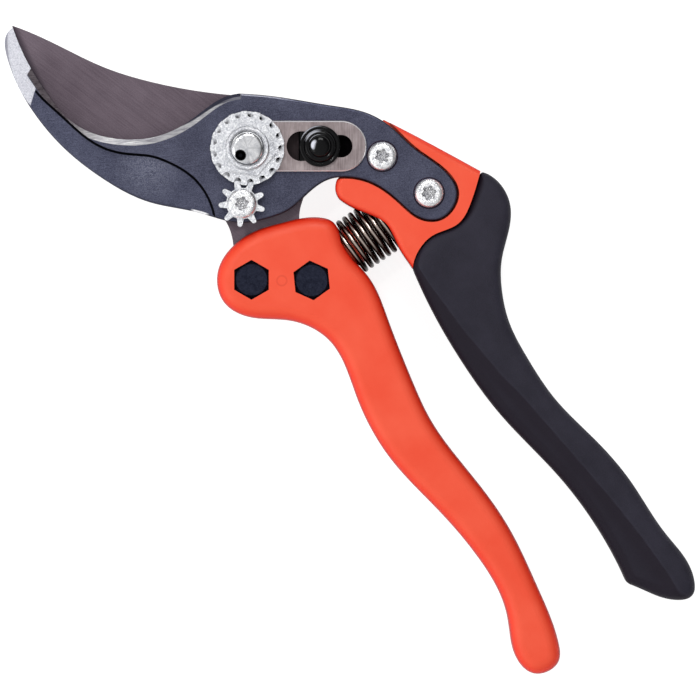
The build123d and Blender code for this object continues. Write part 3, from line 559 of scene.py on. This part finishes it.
def steel_bolt():
    """Polished steel, with faint dark sectors painted round the end of the bolt as the streaked reflection of
    its turning, and a black spot painted there as a dark reflection.
    """
    s = Shader("polished_steel", Metallic=1.0)
    sectors = s.turn()
    streaks = s.node("ShaderNodeTexNoise", {"W": sectors, "Scale": 9.0, "Detail": 2.0}, noise_dimensions="1D")
    dull = s.mix(s.noise(1.6, 3.0), colour(205, 207, 212), colour(255, 255, 255))
    # painted reflection: faint dark sectors round the end of the bolt
    base = s.mix(s.spread(streaks.outputs[0], 0.3, 0.55, 0.35, 0.0), dull, colour(120, 122, 130))
    # painted reflection: a black spot on the bolt's end
    dark_reflection = s.both(s.spread(s.away(*BOLT_DARK_SPOT), *BOLT_DARK_SPOT_R, 1.0, 0.0),
                    s.between(s.axis("Z"), BOLT_TOP - 2.8, BOLT_TOP - 0.04, 0.03))
    base = s.mix(dark_reflection, base, colour(20, 20, 24))
    fine = s.noise(0.4, 3.0)
    return s.feed(Base_Color=base, Roughness=s.spread(fine, 0, 1, 0.14, 0.24), Normal=s.bump(fine, 0.003))


def steel_spring():
    """Dark spring wire, with painted shade that makes it black at its sides and a painted highlight along the
    top of each turn.
    """
    s = Shader("spring_steel", Metallic=1.0)
    fine = s.noise(0.4, 3.0)
    base = s.mix(fine, colour(46, 38, 34), colour(84, 72, 64))
    # painted highlight along the top of each turn
    ridge_highlight = s.both(s.between(s.leaning(SPRING_AXIS), -0.12, 0.2, 0.3),
                   s.spread(s.leaning(seen(-0.2, 0.1, 1.0)), 0.62, 0.93))
    base = s.mix(s.maths("MULTIPLY", ridge_highlight, 0.8), base, colour(206, 192, 182))
    # painted shade at the wire's sides
    base = s.mix(s.spread(s.axis("Z", "Normal"), 0.3, 0.75, 0.95, 0.0), base, colour(14, 9, 9))
    return s.feed(Base_Color=base, Roughness=s.spread(fine, 0, 1, 0.16, 0.26), Normal=s.bump(fine, 0.002))


def plastic_black():
    """Glossy black plastic with a little dust, and painted highlights on the knob."""
    s = Shader("black_plastic", Specular_IOR_Level=0.16)
    grain = s.noise(0.4, 2.0)
    dust = s.noise(0.25, 4.0, 0.7, low=0.62, high=0.75)
    base = s.mix(grain, colour(3, 3, 4), colour(9, 9, 11))
    base = s.mix(s.maths("MULTIPLY", dust, 0.2), base, colour(96, 94, 98))
    # painted highlights: a patch on the dome, and the rims of the two steps below it
    high = s.spread(s.axis("Z"), KNOB_TOP - 0.8, KNOB_TOP - 0.6)
    dome_glint = s.both(high, s.spread(s.leaning(seen(-0.42, 0.1, 1.0)), 0.955, 0.99))
    step_glints = s.both(s.between(s.axis("Z"), KNOB_TOP - 2.7, KNOB_TOP - 1.2, 0.05),
                  s.spread(s.leaning(seen(-0.5, 0.75, 0.75)), 0.86, 0.96))
    base = s.mix(s.maths("MAXIMUM", dome_glint, s.maths("MULTIPLY", step_glints, 0.6)), base, colour(214, 216, 226))
    return s.feed(Base_Color=base, Roughness=s.spread(grain, 0, 1, 0.08, 0.14), Normal=s.bump(grain, 0.002))


orange = plastic_orange()
rubber = rubber_black()
black = plastic_black()
spring_steel = steel_spring()
finish_node(orange, "finger_handle", "fixed_handle_core")
finish_node(rubber, "soft_grip")
finish_node(steel_counter_blade(), "counter_blade")
finish_node(steel_ground(), "cutting_blade")
finish_node(steel_nut(), "adjusting_nut", "lock_star")
finish_node(steel_screw("zinc_arm_front", "arm_screw_front", 1.4, 0.2), "arm_screw_front")
finish_node(steel_screw("zinc_arm_rear", "arm_screw_rear", 1.4, 0.2), "arm_screw_rear")
finish_node(steel_screw("zinc_star", "star_screw", 0.95, 0.15), "star_screw")
finish_node(steel_bolt(), "pivot_bolt")
finish_node(steel("turned_steel", colour(205, 206, 210), colour(238, 238, 240), 2.0, (0.2, 0.3), 0.004),
            "head_washer", "pivot_bushing", "latch_pin")
finish_node(steel_brushed(), "latch_plate", "latch_leaf")
finish_node(black, "latch_knob", "latch_slider")
finish_node(steel("black_steel", colour(26, 28, 40), colour(48, 51, 66), 1.2, (0.32, 0.48)),
            "tang_screw_front", "tang_screw_rear", "tang_nut_front", "tang_nut_rear", "arm_nut_front",
            "arm_nut_rear")
finish_node(spring_steel, "handle_spring")


# ---- meshes ----
def add_piece(name, vertices, faces, material, slot):
    """A smooth-shaded mesh from points in millimetres, linked to the scene."""
    mesh = bpy.data.meshes.new(name)
    mesh.from_pydata([tuple(c * MM for c in v) for v in vertices], [], faces)
    mesh.materials.append(material)
    mesh.shade_smooth()
    piece = bpy.data.objects.new(name, mesh)
    bpy.context.scene.collection.objects.link(piece)
    return piece


def coil_spring():
    """A round wire wound into a coil, with rounded ends.

    Each ring of the wire gets its share of the way along the coil, and the shares come back as one weight for
    each point.
    """
    across, upward = Vector((0, 0, 1)), SPRING_AXIS.cross(Vector((0, 0, 1)))
    count = int(STEPS_PER_TURN * SPRING_TURNS)
    height = SPRING_PITCH * SPRING_TURNS
    rings, shares = [], []

    def at(t):
        angle = SPRING_TURN_FROM + 2 * math.pi * SPRING_TURNS * t
        return (SPRING_FOOT + SPRING_AXIS * (SPRING_START + height * t)
                + across * (SPRING_R * math.cos(angle)) + upward * (SPRING_R * math.sin(angle)))

    def heading(t):
        return (at(t + 1e-4) - at(t - 1e-4)).normalized()

    def ring(t, shift, radius):
        along = heading(t)
        side = SPRING_AXIS.cross(along).normalized()
        over = along.cross(side)
        middle = at(t) + along * shift
        rings.append([middle + side * (radius * math.cos(2 * math.pi * k / WIRE_SIDES))
                      + over * (radius * math.sin(2 * math.pi * k / WIRE_SIDES)) for k in range(WIRE_SIDES)])
        shares.append(t)

    for step in range(1, CAP_STEPS):
        turn = math.pi / 2 * step / CAP_STEPS
        ring(0.0, -WIRE_R * math.cos(turn), WIRE_R * math.sin(turn))
    for step in range(count + 1):
        ring(step / count, 0.0, WIRE_R)
    for step in range(CAP_STEPS - 1, 0, -1):
        turn = math.pi / 2 * step / CAP_STEPS
        ring(1.0, WIRE_R * math.cos(turn), WIRE_R * math.sin(turn))
    vertices = [point for one in rings for point in one]
    weights = [share for share in shares for _ in range(WIRE_SIDES)]
    faces = []
    for row in range(len(rings) - 1):
        for k in range(WIRE_SIDES):
            a, b = row * WIRE_SIDES + k, row * WIRE_SIDES + (k + 1) % WIRE_SIDES
            faces.append((a, b, b + WIRE_SIDES, a + WIRE_SIDES))
    for row, t, shift in ((0, 0.0, -WIRE_R), (len(rings) - 1, 1.0, WIRE_R)):
        tip = len(vertices)
        vertices.append(at(t) + heading(t) * shift)
        weights.append(t)
        for k in range(WIRE_SIDES):
            a, b = row * WIRE_SIDES + k, row * WIRE_SIDES + (k + 1) % WIRE_SIDES
            faces.append((b, a, tip) if row == 0 else (a, b, tip))
    return vertices, faces, weights


vertices, faces, weights = coil_spring()
spring = add_piece("coil_spring", vertices, faces, spring_steel, "spring_steel")
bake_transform(spring)
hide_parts("handle_spring")

# the thumb knob: two ringed steps under a dome
KNOB_CENTRE = centre_of("latch_knob")
KNOB_PROFILE = [(4.9, 13.7), (4.95, 13.85), (4.95, 14.5), (4.83, 14.78), (4.55, 14.9), (4.2, 14.87),
                (4.05, 14.78), (3.92, 14.95), (3.8, 15.35), (3.62, 15.75), (3.3, 15.98), (3.02, 15.98),
                (2.86, 15.88), (2.7, 16.05), (2.6, 16.35), (2.35, 16.78), (1.9, 17.08), (1.2, 17.25),
                (0.5, 17.3)]
KNOB_SIDES = 72


def lathe(profile, centre, sides):
    """A solid turned about an upright line, closed by a point at its top and at its bottom."""
    vertices, faces = [], []
    for radius, height in profile:
        vertices += [(centre[0] + radius * math.cos(2 * math.pi * k / sides),
                      centre[1] + radius * math.sin(2 * math.pi * k / sides), height) for k in range(sides)]
    for row in range(len(profile) - 1):
        for k in range(sides):
            a, b = row * sides + k, row * sides + (k + 1) % sides
            faces.append((a, b, b + sides, a + sides))
    top, bottom = len(vertices), len(vertices) + 1
    vertices += [(*centre, profile[-1][1]), (*centre, profile[0][1])]
    last = (len(profile) - 1) * sides
    for k in range(sides):
        faces.append((last + k, last + (k + 1) % sides, top))
        faces.append(((k + 1) % sides, k, bottom))
    return vertices, faces


knob = add_piece("thumb_knob", *lathe(KNOB_PROFILE, KNOB_CENTRE, KNOB_SIDES), black, "black_plastic")
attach(knob, "latch")
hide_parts("latch_knob")

# the grip: its solid, remeshed finely, with flanks that fall away from a crest along its top
GRIP_CREST = [(49.6, 8.6), (53.6, 8.0), (59.6, 7.3), (67.2, 6.1), (73.2, 5.6), (81.2, 4.9), (87.4, 4.9),
              (99.8, 4.1), (109.7, 3.4), (122.6, 2.4), (132.9, 1.2), (143.8, -0.6), (147.2, -1.5)]
GRIP_VOXEL = 0.5
FLANK_SLOPE = 0.3            # how steeply the flanks fall
FLANK_DROP = 2.4             # and the most that they fall, in millimetres
FLANK_FROM_Z = 6.5           # below this height the grip keeps its shape
FLANK_FULL_Z = 12.0
SMOOTHING = 4


def grip_mesh():
    """The grip's mesh, with its crest."""
    solid = bpy.data.objects.new("grip_solid", NODES["soft_grip"].data.copy())
    bpy.context.scene.collection.objects.link(solid)
    remesh = solid.modifiers.new("remesh", "REMESH")
    remesh.mode = "VOXEL"
    remesh.voxel_size = GRIP_VOXEL * MM
    bpy.context.view_layer.update()
    mesh = bpy.data.meshes.new_from_object(solid.evaluated_get(bpy.context.evaluated_depsgraph_get()))
    bpy.data.objects.remove(solid)
    shape = bmesh.new()
    shape.from_mesh(mesh)
    for _ in range(SMOOTHING):
        bmesh.ops.smooth_vert(shape, verts=shape.verts, factor=0.5, use_axis_x=True, use_axis_y=True,
                              use_axis_z=True)
    shape.to_mesh(mesh)
    shape.free()
    points = np.array([v.co for v in mesh.vertices]) / MM
    crest = np.array(GRIP_CREST)
    start, along = crest[:-1], crest[1:] - crest[:-1]
    reach = points[:, None, :2] - start[None]
    share = np.clip((reach * along).sum(2) / (along ** 2).sum(1), 0, 1)
    away = np.linalg.norm(reach - share[..., None] * along, axis=2).min(1)
    height = np.clip((points[:, 2] - FLANK_FROM_Z) / (FLANK_FULL_Z - FLANK_FROM_Z), 0, 1)
    drop = FLANK_DROP * (1 - np.exp(-FLANK_SLOPE * away / FLANK_DROP))
    points[:, 2] -= drop * height * height * (3 - 2 * height)
    mesh.vertices.foreach_set("co", (points * MM).astype(np.float32).ravel())
    mesh.materials.clear()
    mesh.materials.append(rubber)
    mesh.shade_smooth()
    mesh.update()
    return mesh


grip = bpy.data.objects.new("moulded_grip", grip_mesh())
bpy.context.scene.collection.objects.link(grip)
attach(grip, "fixed_side")
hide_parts("soft_grip")
